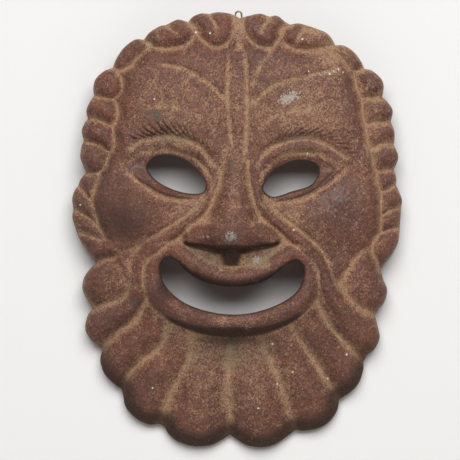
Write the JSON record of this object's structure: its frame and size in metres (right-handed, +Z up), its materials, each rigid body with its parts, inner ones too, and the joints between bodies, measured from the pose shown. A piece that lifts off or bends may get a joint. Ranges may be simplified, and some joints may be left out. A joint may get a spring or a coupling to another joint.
{
  "type": "cast iron mascaron",
  "caption": "Hollow cast iron wall mask of a grinning comedy face with pierced eyes and mouth, scalloped hair and a lobed beard, hung by a small wire loop.",
  "frame": {"origin": "inside top of the hanging wire loop, in the plane of the back rim, where a hook in the wall carries it", "axes": "+Z up as it hangs, +X to the right as seen from the front, the face looks along -Y and the wall is the plane Y = 0"},
  "size_m": [0.2579, 0.0635, 0.3417],
  "materials": {
    "cast_iron": "dry brown rust with ochre dust in the creases",
    "brass_wire": "dull, tarnished"
  },
  "bodies": {
    "root": {"mask_casting": "cast_iron", "hanging_wire": "brass_wire"}
  },
  "joints": []
}
